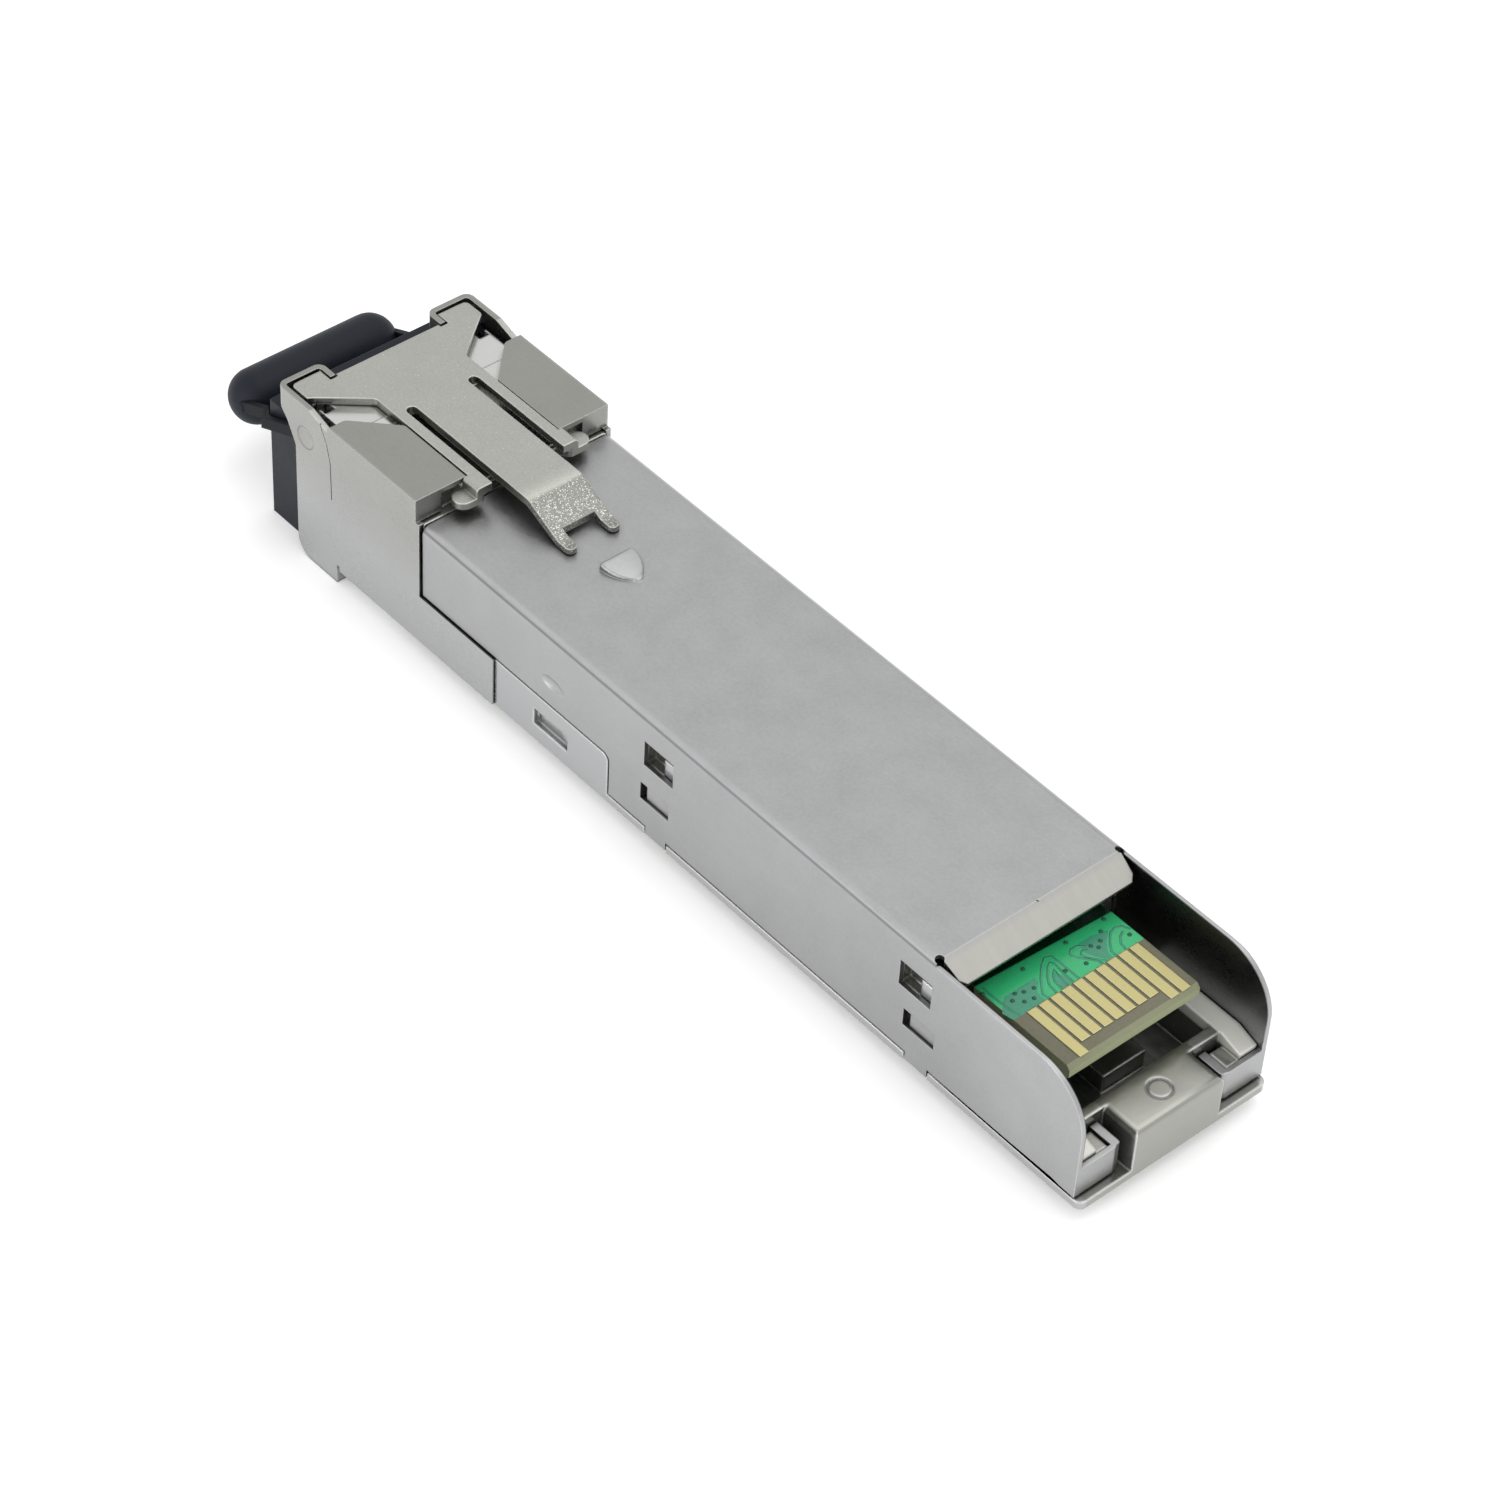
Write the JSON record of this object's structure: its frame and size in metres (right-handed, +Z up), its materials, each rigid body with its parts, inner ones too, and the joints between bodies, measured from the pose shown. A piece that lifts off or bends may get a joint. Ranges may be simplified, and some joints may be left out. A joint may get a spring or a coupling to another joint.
{
  "type": "sfp transceiver",
  "caption": "Pluggable optical transceiver: long folded metal body, square plug receptacle, card-edge tail, and a swinging bail that drives a sliding latch release.",
  "frame": {"origin": "on the underside of the base, on the centre plane, level with the front shoulder of the latch boss", "axes": "+X to the card-edge end, +Y across the body, +Z up out of the latch side"},
  "size_m": [0.0744, 0.0138, 0.0113],
  "materials": {
    "casting": "nickel-plated die casting, satin",
    "sheet": "nickel-plated stamped sheet, satin",
    "steel": "stamped steel strip, dipped black",
    "grip": "soft moulded rubber, matt",
    "moulding": "moulded, fine texture",
    "insert": "moulded, natural",
    "ceramic": "ground white ceramic",
    "turned": "turned stainless",
    "can": "gold-plated header and cap",
    "gold": "gold-plated",
    "board": "green solder mask, glossy",
    "chip": "moulded epoxy",
    "tinned": "tin-plated leads",
    "pad": "soft thermal pad",
    "capacitor": "ceramic body with tinned ends",
    "resistor": "coated chip with tinned ends",
    "ferrite": "pressed ferrite"
  },
  "bodies": {
    "module": {"base_casting": "casting", "cover": "sheet", "nose_shroud": "sheet", "receptacle": "moulding", "receptacle_hooks": "insert", "split_sleeve": "ceramic", "fibre_stub": "ceramic", "optic_body": "turned", "laser_can": "can", "laser_leads": "gold", "receiver_can": "can", "receiver_leads": "gold", "circuit_board": "board", "edge_contacts_top": "gold", "edge_contacts_bottom": "gold", "driver_chip": "chip", "receiver_chip": "chip", "controller_chip": "chip", "controller_leads": "tinned", "memory_chip": "chip", "thermal_pad": "pad", "capacitors": "capacitor", "resistors": "resistor", "ferrite_beads": "ferrite"},
    "actuator": {"latch_actuator": "sheet"},
    "bail": {"bail_frame": "steel", "bail_grip": "grip"}
  },
  "joints": [
    {"name": "bail_swing", "type": "hinge", "parent": "module", "child": "bail", "pos_m": [-0.0191, 0, 0.008], "axis": [0, 1, 0], "range_deg": [0, 42]},
    {"name": "actuator_slide", "type": "slide", "parent": "module", "child": "actuator", "axis": [1, 0, 0], "range_m": [0, 0.000815]}
  ],
  "couplings": [
    {"joint": "bail_swing", "follows": "actuator_slide", "rad_per_m": 899.4}
  ]
}
